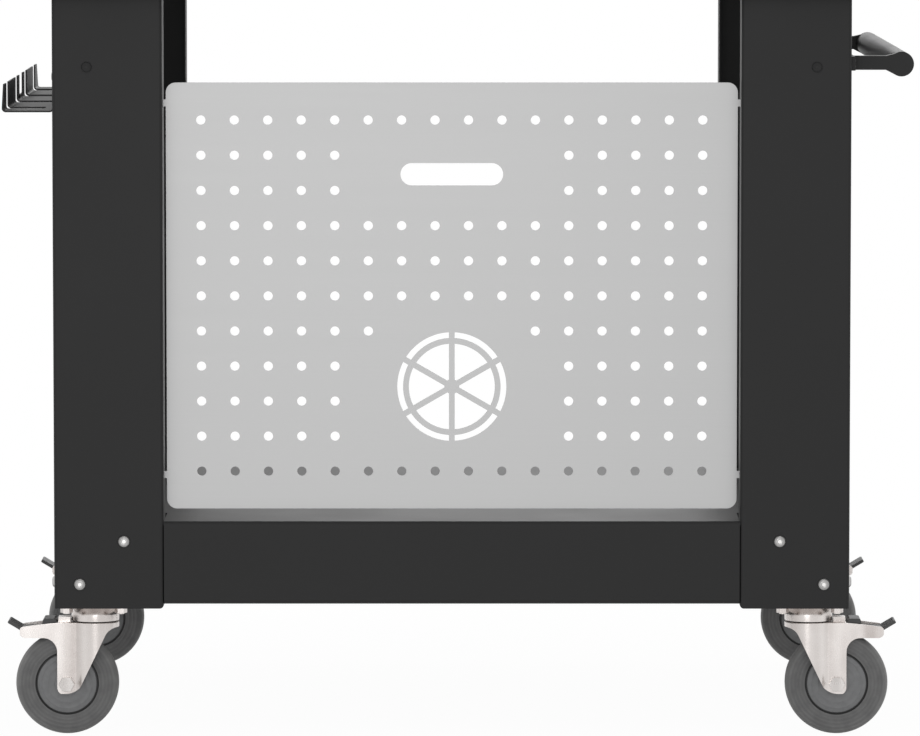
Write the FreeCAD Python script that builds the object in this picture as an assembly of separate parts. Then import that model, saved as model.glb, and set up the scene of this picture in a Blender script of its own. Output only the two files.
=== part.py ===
"""Outdoor pizza oven table on four braked swivel casters, in millimetres.

The origin is on the floor under the middle of the leg frame. +X is the handle side, -Y is the
front with the peg panel, and +Z is up. Four folded sheet legs carry a stainless worktop and a
cross-shaped shelf tray; a tool rack hangs on the left and a push handle on the right.
"""
import FreeCAD, Part
import math
import os

Vector = FreeCAD.Vector

# Overall size, over the outer faces of the legs
table_width = 962.0
table_depth = 760.0
worktop_height = 932.0

# Worktop, a folded stainless tray that drops over the frame
worktop_sheet = 1.5
worktop_skirt = 36.0
worktop_hem = 12.0
worktop_overhang_side = 19.0
worktop_overhang_front = 20.0
worktop_corner_radius = 6.0
worktop_edge_radius = 3.0
stud_radius = 3.0
stud_length = 15.0
stud_weld = 0.5
stud_spacing = 400.0

# Legs, folded sheet with an open back
leg_sheet = 2.0
leg_bend = 2.0
leg_face = 132.5
leg_side = 100.0
leg_return = 50.0
leg_lip = 30.0
leg_foot = 158.0
leg_corner_cut = 5.0

# Upper rails between the leg tops, C sections with closed ends
rail_sheet = 2.0
rail_bend = 2.0
rail_height = 34.0
rail_flange = 27.0
rail_setback = 3.0

# Hat channels under the worktop and under the shelf
stiffener_width = 60.0
stiffener_height = 25.0
stiffener_foot = 18.0
stiffener_sheet = 1.5
stiffener_bend = 1.5
stiffener_offset = 160.0

# Shelf tray, one folded cross-shaped sheet with deep aprons
shelf_height = 264.0
shelf_sheet = 1.5
shelf_bend = 3.5
apron_height = 100.5
apron_hem = 15.0
apron_setback = 0.5
apron_end_tab = 27.0
seat_gap = 0.3

# Peg panel, a flat perforated sheet hung by four lugs in the front legs
panel_sheet = 2.0
panel_depth_in = 25.0
panel_side_gap = 3.0
panel_bottom = 277.5
panel_height = 516.2
panel_corner_radius = 12.0
lug_height = 8.4
lug_reach = 8.5
lug_inset_top = 24.7
lug_inset_bottom = 41.1
slot_gap = 0.3
peg_radius = 5.65
peg_pitch_x = 40.38
peg_pitch_z = 42.55
peg_columns = 16
peg_top_inset = 45.3
holes_per_row = [16, 10, 10, 16, 16, 16, 12, 10, 10, 10, 16]
hand_slot_length = 124.0
hand_slot_height = 27.0
hand_slot_drop = 110.8
motif_drop = 368.0
slice_inner_radius = 9.0
slice_outer_radius = 52.0
crust_inner_radius = 59.0
crust_outer_radius = 66.0
slice_bar_width = 7.0
slice_count = 6

# Tool rack on the left legs, a folded comb; its tray lies below the height of the handle
rack_sheet = 2.0
rack_bend = 3.0
rack_length = 680.0
rack_reach = 63.0
rack_tray_drop = 58.5
rack_lip = 33.0
rack_flange = 60.0
rack_slot_width = 45.0
rack_slot_pitch = 172.0
rack_slot_count = 4
rack_slot_land = 15.0
rack_notch_width = 70.0
rack_notch_sill = 8.0
rack_end_cut = 26.0
rack_corner_radius = 5.0
rack_screw_rise = 43.0
rack_screw_insets = [50.0, 80.0]

# Push handle on the right legs, a tube between two brackets, a drop below the worktop
handle_tube_radius = 15.0
handle_tube_wall = 1.5
handle_length = 690.0
handle_stand_off = 62.0
handle_drop = 116.5
handle_foot_sheet = 5.0
handle_foot_width = 60.0
handle_arm_height = 17.0
handle_arm_rise = 1.5
handle_arm_thick = 12.0
handle_flare_angle = 125.0
handle_flare_reach = 19.0
handle_spigot_length = 22.0
handle_screw_pitch = 36.0

# Casters
wheel_radius = 62.5
tread_width = 32.0
caster_trail = 34.0
swivel_inset_side = 47.0
swivel_inset_front = 50.0
caster_plate_x = 88.0
caster_plate_y = 95.0
caster_plate_sheet = 2.5
caster_plate_radius = 6.0
caster_plate_lift = 0.2
caster_bolt_end = 1.5
caster_bolt_pitch_x = 66.0
caster_bolt_pitch_y = 72.0
head_radius = 29.0
head_wall = 3.0
crown_top = 137.8
crown_sheet = 3.0
bowl_height = 6.8
head_gap = 0.4
ball_radius = 3.0
ball_circle = 20.0
ball_count = 14
ball_gap = 0.3
kingpin_radius = 8.0
kingpin_head_radius = 12.5
kingpin_head_height = 4.0
running_gap = 0.05
fork_gap = 38.0
fork_sheet = 2.5
fork_end_drop = 13.5
fork_outer_reach = 11.5
fork_inner_reach = 12.0
fork_neck_reach = 51.5
fork_neck_radius = 16.0
fork_wing_reach = 56.8
fork_wing_under = 118.6
fork_wing_top = 135.3
fork_wing_radius = 7.0
fork_wing_corner = 4.0
fork_arch_radius = 17.0
fork_end_radius = 9.0
fork_crease_radius = 10.0
fork_lip_radius = 1.5
fork_mouth = 45.0
axle_bolt_radius = 5.0
axle_sleeve_radius = 6.5
axle_head_flats = 17.0
axle_head_height = 6.4
hub_radius = 37.2
hub_boss_radius = 15.0
hub_side_gap = 0.5
hub_width = 29.0
hub_crown = 2.7
hub_edge_radius = 1.0
hub_groove_width = 0.8
hub_groove_depth = 2.2
tyre_side_width = 29.5
tyre_shoulder_radius = 56.0
tyre_tread_flat = 16.0
tyre_round = 6.0
tyre_lip_radius = 0.5

# Brake pedal of each caster
pedal_pivot_reach = 14.0
pedal_pivot_z = 131.0
pedal_pin_radius = 2.5
pedal_pin_seat = 1.5
pedal_side_gap = 0.6
pedal_boss_radius = 4.5
pedal_heel = 3.2
pedal_arm_under = 3.5
pedal_arm_top = 3.5
pedal_tip_reach = 70.0
pedal_tip_z = 140.0
pedal_tip_thick = 7.0
pedal_tip_root_z = 132.0
pedal_shoe_start = 20.0
pedal_shoe_end = 34.0
pedal_shoe_drop = 11.0
pedal_block_start = 12.0
pedal_block_end = 30.0
pedal_block_top = 144.5
pedal_block_slope = 2.0
pedal_travel = 14.0
pedal_corner_radius = 2.0
pedal_tip_bend = 4.0
pedal_block_radius = 2.5
pedal_shoe_gap = 0.5
lock_rib_start = 30.0
lock_rib_width = 18.0
lock_rib_height = 5.2
lock_rib_gap = 0.5

# Caster brackets folded into the feet of the legs
bracket_sheet = 3.0
bracket_length_x = 92.0
bracket_length_y = 93.0
bracket_height = 100.0
bracket_corner_radius = 5.0

# Backing angles behind the rack and the handle, placed from the height of the handle
backing_sheet = 3.0
backing_height = 60.0
backing_drop = 35.5
backing_front = 62.0
backing_side = 92.0

# Screws and nuts
m8_radius = 4.0
m8_head_radius = 6.9
m8_head_height = 4.0
m8_nut_flats = 13.0
m8_nut_height = 6.5
m8_bolt_head_height = 5.3
m8_socket_flats = 5.0
m6_radius = 3.0
m6_head_radius = 5.6
m6_head_height = 3.0
m6_nut_flats = 10.0
m6_nut_height = 5.0
m6_bolt_head_height = 4.0
m6_socket_flats = 4.0
m6_upper_head_radius = 6.0
socket_depth = 2.2
screw_hole_gap = 0.3
screw_end = 3.0
leg_screw_high = [84.5, 239.7]
leg_screw_low = [31.0, 187.5]
upper_screw_inset = 41.8
upper_screw_drop = 2.3
apron_bolt_low = 26.0
apron_bolt_high = 58.0
head_rounding = 0.6

# How far a cutting shape runs past what it cuts, and how near two places count as one
overcut = 1.0
tolerance = 1e-6

# Places worked out from the sizes above
half_width = table_width / 2
half_depth = table_depth / 2
half_opening = half_width - leg_face
side_opening = half_depth - leg_side
worktop_under = worktop_height - worktop_sheet
rail_middle_in = rail_setback + rail_flange / 2 + rail_sheet / 2
stud_line = half_depth - rail_middle_in
rail_bottom = worktop_under - rail_height
rail_middle = worktop_under - rail_height / 2
apron_bottom = shelf_height - apron_height
panel_half_width = half_opening - panel_side_gap
panel_top = panel_bottom + panel_height
lug_heights = [panel_top - lug_inset_top, panel_bottom + lug_inset_bottom]
handle_z = worktop_height - handle_drop
rack_tray_z = handle_z - rack_tray_drop
rack_tray_top = rack_tray_z + rack_sheet
rack_screw_z = rack_tray_z + rack_screw_rise
upper_screw_z = handle_z - upper_screw_drop
backing_bottom = handle_z - backing_drop
swivel_x = half_width - swivel_inset_side
swivel_y = half_depth - swivel_inset_front
head_bottom = crown_top + head_gap
plate_bottom = leg_foot + caster_plate_lift
plate_top = plate_bottom + caster_plate_sheet
bracket_top = plate_top + bracket_sheet
crown_under = crown_top - crown_sheet
cheek_outside = fork_gap / 2 + fork_sheet
wing_x = caster_trail + fork_wing_reach
pedal_pivot_x = caster_trail + pedal_pivot_reach
handle_x = half_width + handle_stand_off
handle_arm_y = handle_length / 2 - handle_arm_thick / 2
corners = [("front_left", True, True), ("front_right", False, True),
           ("rear_left", True, False), ("rear_right", False, False)]


def box(x0, x1, y0, y1, z0, z1):
    """Box between two corners."""
    return Part.makeBox(x1 - x0, y1 - y0, z1 - z0, Vector(x0, y0, z0))


def rod(radius, start, end):
    """Solid cylinder from one point to another."""
    return Part.makeCylinder(radius, (end - start).Length, start, end - start)


def fuse_all(shapes):
    """One solid from touching or overlapping solids, without the seams between them."""
    return shapes[0].multiFuse(shapes[1:]).removeSplitter()


def rounded_outline(points, place):
    """Closed wire through (a, b, radius) corners, put into space by place(a, b)."""
    edges = []
    ends = []
    for index, (a, b, radius) in enumerate(points):
        here = Vector(a, b, 0)
        before = Vector(points[index - 1][0], points[index - 1][1], 0) - here
        after_point = points[(index + 1) % len(points)]
        after = Vector(after_point[0], after_point[1], 0) - here
        before.normalize()
        after.normalize()
        half_angle = before.getAngle(after) / 2
        if radius <= 0:
            ends.append((here, here))
            continue
        reach = radius / math.tan(half_angle)
        inward = before + after
        inward.normalize()
        middle = here + inward * (radius / math.sin(half_angle) - radius)
        start = here + before * reach
        end = here + after * reach
        edges.append(Part.Arc(*[place(p.x, p.y) for p in (start, middle, end)]).toShape())
        ends.append((start, end))
    for index, (start, end) in enumerate(ends):
        leaving = ends[index - 1][1]
        if (start - leaving).Length > tolerance:
            line = Part.LineSegment(place(leaving.x, leaving.y), place(start.x, start.y))
            edges.append(line.toShape())
    return Part.Wire(Part.__sortEdges__(edges))


def prism(points, axis, start, end):
    """Solid of a rounded outline, drawn across an axis and drawn out along it.

    The outline is (y, z) for axis X, (x, z) for axis Y and (x, y) for axis Z.
    """
    places = {"x": lambda a, b: Vector(start, a, b),
              "y": lambda a, b: Vector(a, start, b),
              "z": lambda a, b: Vector(a, b, start)}
    steps = {"x": Vector(end - start, 0, 0),
             "y": Vector(0, end - start, 0),
             "z": Vector(0, 0, end - start)}
    return Part.Face(rounded_outline(points, places[axis])).extrude(steps[axis])


def folded_sheet(path, thickness, bend):
    """Outline of a folded sheet: path is one face, and the sheet lies to its left."""
    directions = []
    for (a0, b0), (a1, b1) in zip(path, path[1:]):
        step = Vector(a1 - a0, b1 - b0, 0)
        step.normalize()
        directions.append(step)
    near = []
    far = []
    for index, (a, b) in enumerate(path):
        into = directions[max(index - 1, 0)]
        out = directions[min(index, len(directions) - 1)]
        normal = Vector(-into.y - out.y, into.x + out.x, 0)
        normal.normalize()
        stretch = thickness / (normal.x * -into.y + normal.y * into.x)
        turn = into.x * out.y - into.y * out.x
        near_radius = 0
        far_radius = 0
        if abs(turn) > tolerance:
            near_radius = bend + thickness if turn > 0 else bend
            far_radius = bend if turn > 0 else bend + thickness
        near.append((a, b, near_radius))
        far.append((a + normal.x * stretch, b + normal.y * stretch, far_radius))
    return near + far[::-1]


def hexagon(flats, start, end):
    """Hexagonal prism from one point to another, measured across its flats."""
    radius = flats / math.sqrt(3)
    ring = [Vector(radius * math.cos(math.radians(60 * k)), radius * math.sin(math.radians(60 * k)), 0)
            for k in range(7)]
    shape = Part.Face(Part.makePolygon(ring)).extrude(Vector(0, 0, (end - start).Length))
    shape.Placement = FreeCAD.Placement(start, FreeCAD.Rotation(Vector(0, 0, 1), end - start))
    return shape


def nut(flats, height, radius, seat, outward):
    """Hexagon nut on a seat, with its bore round the screw."""
    top = seat + outward * height
    return hexagon(flats, seat, top).cut(rod(radius + running_gap, seat - outward, top + outward))


def button_screw(head_radius_used, head_height, radius, socket, seat, outward, grip):
    """Round-headed socket screw: its head stands outward of the seat, its shank runs inward."""
    head = rod(head_radius_used, seat, seat + outward * head_height)
    rim = [edge for edge in head.Edges
           if (edge.CenterOfMass - (seat + outward * head_height)).Length < tolerance]
    head = head.makeFillet(head_height * head_rounding, rim)
    shank = rod(radius, seat - outward * grip, seat + outward * head_height / 2)
    drive = hexagon(socket, seat + outward * (head_height - socket_depth),
                    seat + outward * (head_height + overcut))
    return head.fuse(shank).cut(drive).removeSplitter()


def hex_bolt(flats, head_height, radius, seat, outward, grip):
    """Hexagon bolt: its head stands outward of the seat, its shank runs inward."""
    head = hexagon(flats, seat, seat + outward * head_height)
    return head.fuse(rod(radius, seat - outward * grip, seat)).removeSplitter()


def to_corner(shape, is_left, is_front):
    """Place what is drawn inward from an outer corner at x = 0, y = 0 on one leg's corner."""
    placed = shape.copy()
    placed.translate(Vector(-half_width, -half_depth, 0))
    if not is_left:
        placed = placed.mirror(Vector(0, 0, 0), Vector(1, 0, 0))
    if not is_front:
        placed = placed.mirror(Vector(0, 0, 0), Vector(0, 1, 0))
    return placed


def to_caster(shape, is_left, is_front):
    """Place what is drawn round a swivel axis at x = 0, y = 0, trailing to +X, on one caster."""
    placed = shape.copy()
    if is_left:
        placed = placed.mirror(Vector(0, 0, 0), Vector(1, 0, 0))
    placed.translate(Vector(-swivel_x if is_left else swivel_x,
                            -swivel_y if is_front else swivel_y, 0))
    return placed


def save(shape, node):
    """Write one node, after a check that it is sound."""
    assert shape.isValid(), node
    shape.exportStep("parts/" + node + ".step")


def worktop():
    """Folded tray with hemmed skirts and four welded studs."""
    half_x = half_width + worktop_overhang_side
    half_y = half_depth + worktop_overhang_front
    bottom = worktop_height - worktop_skirt

    def slab(inset, z0, z1):
        radius = worktop_corner_radius - inset if inset < worktop_corner_radius else 0
        x, y = half_x - inset, half_y - inset
        return prism([(-x, -y, radius), (x, -y, radius), (x, y, radius), (-x, y, radius)], "z", z0, z1)

    tray = slab(0, bottom, worktop_height)
    rim = [edge for edge in tray.Edges if edge.BoundBox.ZMin > worktop_height - tolerance]
    tray = tray.makeFillet(worktop_edge_radius, rim)
    tray = tray.cut(slab(worktop_sheet, bottom + worktop_sheet, worktop_under))
    tray = tray.cut(slab(worktop_hem, bottom - overcut, bottom + worktop_sheet + overcut))
    studs = []
    for x in (-stud_spacing / 2, stud_spacing / 2):
        for y in (-1, 1):
            top = Vector(x, y * stud_line, worktop_under)
            studs.append(rod(stud_radius, top - Vector(0, 0, stud_length), top + Vector(0, 0, stud_weld)))
    return fuse_all([tray] + studs)


def leg_shell():
    """Folded leg drawn inward from its outer corner, with its inner foot corner rounded off."""
    path = [(leg_face, leg_return), (leg_face, 0), (0, 0), (0, leg_side), (leg_lip, leg_side)]
    shape = prism(folded_sheet(path[::-1], leg_sheet, leg_bend), "z", leg_foot, worktop_under)
    cut = leg_corner_cut
    corner = [(leg_face - cut, leg_foot - overcut, 0), (leg_face + overcut, leg_foot - overcut, 0),
              (leg_face + overcut, leg_foot + cut, 0), (leg_face, leg_foot + cut, 0),
              (leg_face, leg_foot, cut), (leg_face - cut, leg_foot, 0)]
    return shape.cut(prism(corner, "y", -overcut, leg_return + overcut))


def panel_slots():
    """The two slots in a front leg's inner flange that carry the panel's lugs."""
    reach = panel_sheet / 2 + slot_gap
    tall = lug_height / 2 + slot_gap
    return [box(leg_face - leg_sheet - overcut, leg_face + overcut, panel_depth_in - reach,
                panel_depth_in + reach, height - tall, height + tall) for height in lug_heights]


def caster_bracket():
    """Welded corner bracket in the leg's foot: a bolting plate and two upright flanges."""
    edge = leg_sheet
    end_x = edge + bracket_length_x
    end_y = edge + bracket_length_y
    top = plate_top + bracket_height
    plate = box(edge, end_x, edge, end_y, plate_top, bracket_top)
    front = box(edge, end_x, edge, edge + bracket_sheet, plate_top, top)
    side = box(edge, edge + bracket_sheet, edge, end_y, plate_top, top)
    shape = fuse_all([plate, front, side])
    upright = [line for line in shape.Edges
               if line.BoundBox.XMax - edge < tolerance and line.BoundBox.YMax - edge < tolerance]
    return shape.makeFillet(bracket_corner_radius, upright)


def backing_angle():
    """Folded angle behind the rack or handle screws."""
    edge = leg_sheet
    path = [(edge + backing_front, edge), (edge, edge), (edge, edge + backing_side)]
    outline = folded_sheet(path[::-1], backing_sheet, leg_bend)
    return prism(outline, "z", backing_bottom, backing_bottom + backing_height)


def c_rail(length):
    """C section with closed ends, drawn along +X from x = 0, its back on the plane y = 0."""
    path = [(rail_flange, worktop_under), (0, worktop_under), (0, rail_bottom), (rail_flange, rail_bottom)]
    channel = prism(folded_sheet(path, rail_sheet, rail_bend), "x", 0, length)
    inner = rail_sheet / 2
    ends = [box(x, x + rail_sheet, inner, rail_flange, rail_bottom + inner, worktop_under - inner)
            for x in (0, length - rail_sheet)]
    return fuse_all([channel] + ends)


def hat_channel(axis, centre, top, reach):
    """Hat section that hangs from a sheet's underside by its two feet."""
    half = stiffener_width / 2
    foot = half + stiffener_foot
    low = top - stiffener_height + stiffener_sheet
    path = [(centre + foot, top), (centre + half, top), (centre + half, low),
            (centre - half, low), (centre - half, top), (centre - foot, top)]
    return prism(folded_sheet(path, stiffener_sheet, stiffener_bend), axis, -reach, reach)


def shelf_tray():
    """Cross-shaped shelf folded down into four hemmed aprons with bolting tabs at their ends."""
    def channel(half_span, axis, reach):
        path = [(half_span - apron_hem, apron_bottom), (half_span, apron_bottom), (half_span, shelf_height),
                (-half_span, shelf_height), (-half_span, apron_bottom), (apron_hem - half_span, apron_bottom)]
        return prism(folded_sheet(path, shelf_sheet, shelf_bend), axis, -reach, reach)

    reach_x = half_opening - seat_gap
    reach_y = side_opening - seat_gap
    front = half_depth - apron_setback
    side = half_width - apron_setback
    low = apron_bottom + shelf_sheet / 2
    high = shelf_height - shelf_bend - shelf_sheet
    pieces = [channel(front, "x", reach_x), channel(side, "y", reach_y)]
    web = shelf_sheet / 2
    for near, far in ((-1, 1), (1, 1), (-1, -1), (1, -1)):
        tab_x = sorted([near * (reach_x - shelf_sheet), near * reach_x])
        tab_y = sorted([far * (front - apron_end_tab), far * (front - web)])
        pieces.append(box(tab_x[0], tab_x[1], tab_y[0], tab_y[1], low, high))
        tab_x = sorted([near * (side - apron_end_tab), near * (side - web)])
        tab_y = sorted([far * (reach_y - shelf_sheet), far * reach_y])
        pieces.append(box(tab_x[0], tab_x[1], tab_y[0], tab_y[1], low, high))
    return fuse_all(pieces)


def peg_panel():
    """Flat sheet with four lugs, a peg-hole grid, a hand slot and a sliced-disc motif."""
    front = -half_depth + panel_depth_in - panel_sheet / 2
    back = front + panel_sheet
    half = panel_half_width
    radius = panel_corner_radius
    pieces = [prism([(-half, panel_bottom, radius), (half, panel_bottom, radius),
                     (half, panel_top, radius), (-half, panel_top, radius)], "y", front, back)]
    for height in lug_heights:
        pieces.append(box(-half - lug_reach, half + lug_reach, front, back,
                          height - lug_height / 2, height + lug_height / 2))
    sheet = fuse_all(pieces)

    def through(radius_used, x, z):
        return rod(radius_used, Vector(x, front - overcut, z), Vector(x, back + overcut, z))

    cuts = []
    for row, count in enumerate(holes_per_row):
        z = panel_top - peg_top_inset - row * peg_pitch_z
        for column in range(peg_columns):
            from_side = min(column, peg_columns - 1 - column)
            if from_side < count / 2:
                cuts.append(through(peg_radius, (column - (peg_columns - 1) / 2) * peg_pitch_x, z))
    slot_z = panel_top - hand_slot_drop
    low, high = slot_z - hand_slot_height / 2, slot_z + hand_slot_height / 2
    end = hand_slot_length / 2
    round_end = hand_slot_height / 2
    cuts.append(prism([(-end, low, round_end), (end, low, round_end), (end, high, round_end),
                       (-end, high, round_end)], "y", front - overcut, back + overcut))
    centre_z = panel_top - motif_drop
    slices = through(slice_outer_radius, 0, centre_z).cut(through(slice_inner_radius, 0, centre_z))
    crust = through(crust_outer_radius, 0, centre_z).cut(through(crust_inner_radius, 0, centre_z))
    motif = Part.makeCompound([slices, crust])
    for index in range(slice_count // 2):
        bar = box(-crust_outer_radius - overcut, crust_outer_radius + overcut,
                  front - 2 * overcut, back + 2 * overcut,
                  centre_z - slice_bar_width / 2, centre_z + slice_bar_width / 2)
        bar.rotate(Vector(0, 0, centre_z), Vector(0, 1, 0), (index + 0.5) * 360 / slice_count)
        motif = motif.cut(bar)
    return sheet.cut(Part.makeCompound(cuts + motif.Solids))


def tool_rack():
    """Folded comb: a screwed flange, a slotted tray and an upturned lip."""
    out = half_width + rack_reach
    path = [(-out, rack_tray_z + rack_lip), (-out, rack_tray_z), (-half_width, rack_tray_z),
            (-half_width, rack_tray_z + rack_flange)]
    end = rack_length / 2
    sheet = prism(folded_sheet(path, rack_sheet, rack_bend), "y", -end, end)
    top = rack_tray_z + rack_lip
    outside = -out - overcut
    inside = -out + rack_sheet + overcut
    cuts = []
    for index in range(rack_slot_count):
        y = (index - (rack_slot_count - 1) / 2) * rack_slot_pitch
        half = rack_slot_width / 2
        land = -half_width - rack_slot_land
        cuts.append(prism([(outside, y - half, 0), (land, y - half, rack_corner_radius),
                           (land, y + half, rack_corner_radius), (outside, y + half, 0)],
                          "z", rack_tray_z - overcut, top + overcut))
    half = rack_notch_width / 2
    sill = rack_tray_z + rack_notch_sill
    cuts.append(prism([(-half, sill, rack_corner_radius), (half, sill, rack_corner_radius),
                       (half, top + overcut, 0), (-half, top + overcut, 0)], "x", outside, inside))
    for side in (-1, 1):
        cuts.append(prism([(side * end, rack_tray_top + rack_bend, 0),
                           (side * (end + overcut), top + overcut, 0),
                           (side * (end - rack_end_cut), top + overcut, 0)], "x", outside, inside))
    return sheet.cut(Part.makeCompound(cuts))


def handle_bracket(is_front):
    """Foot plate, flat arm and round end cap with a spigot that the tube slides over."""
    side = -1 if is_front else 1
    y = side * handle_arm_y
    near, far = y - handle_arm_thick / 2, y + handle_arm_thick / 2
    arm_z = handle_z + handle_arm_rise
    low, high = arm_z - handle_arm_height / 2, arm_z + handle_arm_height / 2
    foot_end = half_width + handle_foot_sheet
    foot = box(half_width, foot_end, y - handle_foot_width / 2, y + handle_foot_width / 2, low, high)
    angle = math.radians(handle_flare_angle)
    rim_x = handle_x + handle_tube_radius * math.cos(angle)
    rim_z = handle_tube_radius * math.sin(angle)
    flare_x = handle_x - handle_flare_reach
    root_x = half_width + handle_foot_sheet / 2
    arm = prism([(root_x, low, 0), (flare_x, low, 0), (rim_x, handle_z - rim_z, 0), (handle_x, handle_z, 0),
                 (rim_x, handle_z + rim_z, 0), (flare_x, high, 0), (root_x, high, 0)], "y", near, far)
    cap = rod(handle_tube_radius, Vector(handle_x, near, handle_z), Vector(handle_x, far, handle_z))
    spigot_radius = handle_tube_radius - handle_tube_wall - seat_gap
    inward = -side * (handle_arm_thick / 2 + handle_spigot_length)
    spigot = rod(spigot_radius, Vector(handle_x, y, handle_z), Vector(handle_x, y + inward, handle_z))
    return fuse_all([foot, arm, cap, spigot])


def handle_tube():
    """Round tube butted between the two end caps."""
    reach = handle_length / 2 - handle_arm_thick
    start, end = Vector(handle_x, -reach, handle_z), Vector(handle_x, reach, handle_z)
    return rod(handle_tube_radius, start, end).cut(rod(handle_tube_radius - handle_tube_wall, start, end))


def caster_plate():
    """Bolting plate with the pressed head that holds the upper ball race."""
    half_x, half_y = caster_plate_x / 2, caster_plate_y / 2
    radius = caster_plate_radius
    plate = prism([(-half_x, -half_y, radius), (half_x, -half_y, radius), (half_x, half_y, radius),
                   (-half_x, half_y, radius)], "z", plate_bottom, plate_top)
    drum = rod(head_radius, Vector(0, 0, head_bottom), Vector(0, 0, plate_bottom))
    drum = drum.cut(rod(head_radius - head_wall, Vector(0, 0, head_bottom), Vector(0, 0, plate_bottom)))
    race_inner = ball_circle - ball_radius - ball_gap
    race_outer = ball_circle + ball_radius + ball_gap
    channel_top = crown_top + 2 * ball_gap + 2 * ball_radius
    race_top = channel_top + head_wall
    race = rod(head_radius - head_wall / 2, Vector(0, 0, head_bottom), Vector(0, 0, race_top))
    race = race.cut(rod(race_inner - head_wall, Vector(0, 0, head_bottom), Vector(0, 0, race_top)))
    channel = rod(race_outer, Vector(0, 0, head_bottom), Vector(0, 0, channel_top))
    channel = channel.cut(rod(race_inner, Vector(0, 0, head_bottom), Vector(0, 0, channel_top)))
    shape = fuse_all([plate, drum, race.cut(channel)])
    bottom, top = Vector(0, 0, plate_bottom - overcut), Vector(0, 0, plate_top + overcut)
    return shape.cut(rod(kingpin_radius + running_gap, bottom, top))


def kingpin():
    """Riveted pin on which the fork turns."""
    head_top = crown_under - seat_gap
    head = rod(kingpin_head_radius, Vector(0, 0, head_top - kingpin_head_height), Vector(0, 0, head_top))
    return head.fuse(rod(kingpin_radius, Vector(0, 0, head_top), Vector(0, 0, plate_top))).removeSplitter()


def head_balls():
    """Loose balls between the fork's crown and the upper race."""
    height = crown_top + ball_gap + ball_radius
    balls = []
    for index in range(ball_count):
        angle = 2 * math.pi * index / ball_count
        centre = Vector(ball_circle * math.cos(angle), ball_circle * math.sin(angle), height)
        balls.append(Part.makeSphere(ball_radius, centre))
    return balls


def cup(radius, half_gap, crease, top):
    """Solid of a round cup about the swivel axis that runs on along +X into a straight channel."""
    middle = Vector(math.sqrt((radius + crease) ** 2 - (half_gap + crease) ** 2), half_gap + crease, 0)
    on_cup = middle * (radius / (radius + crease))
    on_side = middle - Vector(0, crease, 0)
    outward = Vector(middle).normalize() + Vector(0, 1, 0)
    between = middle - outward.normalize() * crease
    far = wing_x + overcut

    def other(point):
        return Vector(point.x, -point.y, 0)

    edges = [Part.Arc(on_side, between, on_cup).toShape(),
             Part.Arc(on_cup, Vector(-radius, 0, 0), other(on_cup)).toShape(),
             Part.Arc(other(on_cup), other(between), other(on_side)).toShape(),
             Part.LineSegment(other(on_side), Vector(far, -half_gap, 0)).toShape(),
             Part.LineSegment(Vector(far, -half_gap, 0), Vector(far, half_gap, 0)).toShape(),
             Part.LineSegment(Vector(far, half_gap, 0), on_side).toShape()]
    return Part.Face(Part.Wire(edges)).extrude(Vector(0, 0, top))


def fork():
    """Fork drawn from a round cup, whose wall runs on into two cheeks with brake wings."""
    axle_x, axle_z = caster_trail, wheel_radius
    outer_x = axle_x + fork_outer_reach
    bottom = axle_z - fork_end_drop
    bowl_low = crown_top - bowl_height
    past = head_radius + overcut
    outline = [(outer_x, bottom, fork_end_radius), (outer_x, fork_wing_under, fork_arch_radius),
               (wing_x, fork_wing_under, fork_wing_radius), (wing_x, fork_wing_top, fork_wing_corner),
               (head_radius, crown_top, 0), (-past, crown_top, 0), (-past, bowl_low, 0),
               (axle_x - fork_neck_reach, bowl_low, fork_neck_radius),
               (axle_x - fork_inner_reach, bottom, fork_end_radius)]
    inside = fork_gap / 2
    blank = cup(head_radius, cheek_outside, fork_crease_radius, crown_top)
    rim = [edge for edge in blank.Edges
           if edge.BoundBox.ZMin > crown_top - tolerance and edge.BoundBox.XMax < fork_mouth]
    shape = blank.makeFillet(fork_lip_radius, rim).common(prism(outline, "y", -past, past))
    shape = shape.cut(cup(head_radius - fork_sheet, inside, fork_crease_radius + fork_sheet, crown_under))
    shape = shape.cut(box(fork_mouth, wing_x + overcut, -inside, inside, crown_under - overcut,
                          crown_top + overcut))
    rib = box(lock_rib_start, fork_mouth - lock_rib_gap, -lock_rib_width / 2, lock_rib_width / 2,
              crown_under, crown_top + lock_rib_height)
    shape = fuse_all([shape, rib])
    reach = cheek_outside + overcut
    seat = inside + pedal_pin_seat + running_gap
    holes = [rod(kingpin_radius + running_gap, Vector(0, 0, crown_under - overcut),
                 Vector(0, 0, crown_top + overcut)),
             rod(axle_bolt_radius + running_gap, Vector(axle_x, -reach, axle_z),
                 Vector(axle_x, reach, axle_z)),
             rod(pedal_pin_radius + running_gap, Vector(pedal_pivot_x, -seat, pedal_pivot_z),
                 Vector(pedal_pivot_x, seat, pedal_pivot_z))]
    return shape.cut(Part.makeCompound(holes))


def axle():
    """Axle bolt, its nut and the sleeve on which the wheel turns."""
    x, z = caster_trail, wheel_radius
    front = Vector(x, -cheek_outside, z)
    rear = Vector(x, cheek_outside, z)
    grip = 2 * cheek_outside + axle_head_height + screw_end
    bolt = hex_bolt(axle_head_flats, axle_head_height, axle_bolt_radius, front, Vector(0, -1, 0), grip)
    end_nut = nut(axle_head_flats, axle_head_height, axle_bolt_radius, rear, Vector(0, 1, 0))
    reach = fork_gap / 2 - running_gap
    start, end = Vector(x, -reach, z), Vector(x, reach, z)
    sleeve = rod(axle_sleeve_radius, start, end).cut(rod(axle_bolt_radius + running_gap, start, end))
    return [bolt, end_nut, sleeve]


def turned(points):
    """Ring turned about the wheel's axis from an outline in (radius, width)."""
    face = Part.Face(rounded_outline(points, lambda a, b: Vector(a, b, 0)))
    ring = face.revolve(Vector(0, 0, 0), Vector(0, 1, 0), 360)
    ring.translate(Vector(caster_trail, 0, wheel_radius))
    return ring


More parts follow.
